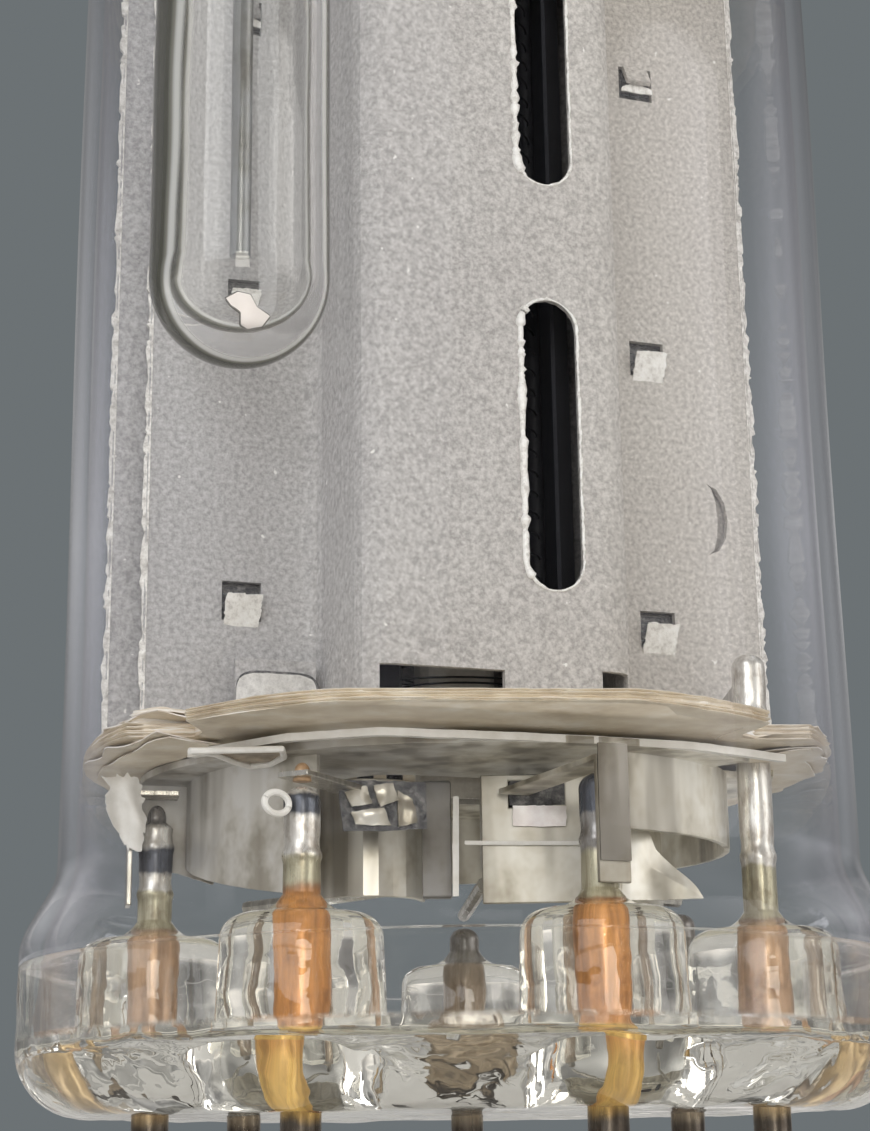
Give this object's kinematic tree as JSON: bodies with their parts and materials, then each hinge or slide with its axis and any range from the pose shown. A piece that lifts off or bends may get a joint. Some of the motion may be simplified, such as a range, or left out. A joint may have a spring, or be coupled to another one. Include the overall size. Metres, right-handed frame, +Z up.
{
  "type": "vacuum tube",
  "caption": "All-glass power tube with a matt folded anode, mica spacers, an inner glass sleeve and a pressed glass base with round pins.",
  "frame": {"origin": "bottom centre of the tube, level with the tips of its pins", "axes": "+Z up along the bulb; the anode's wings lie along X and its slotted face looks towards -Y"},
  "size_m": [0.0362, 0.0362, 0.0847],
  "materials": {
    "bulb_glass": "clear polished",
    "stem_glass": "clear, faintly yellow",
    "sleeve_glass": "clear polished",
    "lead_alloy": "copper-coloured in the seal, nickel above it",
    "mica": "layered, flaky at the edge",
    "anode_grey": "matt and granular",
    "nickel": "bright satin",
    "grid_wire": "satin",
    "oxide_white": "matt coating",
    "getter_steel": "heat-darkened"
  },
  "bodies": {
    "root": {"bulb": "bulb_glass", "stem_plate": "stem_glass", "glass_sleeve": "sleeve_glass", "pin_1": "lead_alloy", "pin_2": "lead_alloy", "pin_3": "lead_alloy", "pin_4": "lead_alloy", "pin_5": "lead_alloy", "pin_6": "lead_alloy", "pin_7": "lead_alloy", "lower_mica": "mica", "upper_mica": "mica", "anode_front": "anode_grey", "anode_back": "anode_grey", "anode_strap": "nickel", "cathode": "oxide_white", "heater": "oxide_white", "control_grid": "grid_wire", "screen_grid": "grid_wire", "beam_plate_left": "nickel", "beam_plate_right": "nickel", "lower_shield": "nickel", "screen_bracket": "nickel", "cathode_can": "nickel", "centre_bar": "nickel", "curved_baffle": "nickel", "shield_strap": "nickel", "cathode_strap": "nickel", "screen_strap": "nickel", "control_wire": "nickel", "heater_wire_left": "nickel", "heater_wire_right": "nickel", "sleeve_rod": "nickel", "sleeve_collar": "nickel", "getter_ring": "getter_steel", "getter_post": "nickel"}
  },
  "joints": []
}
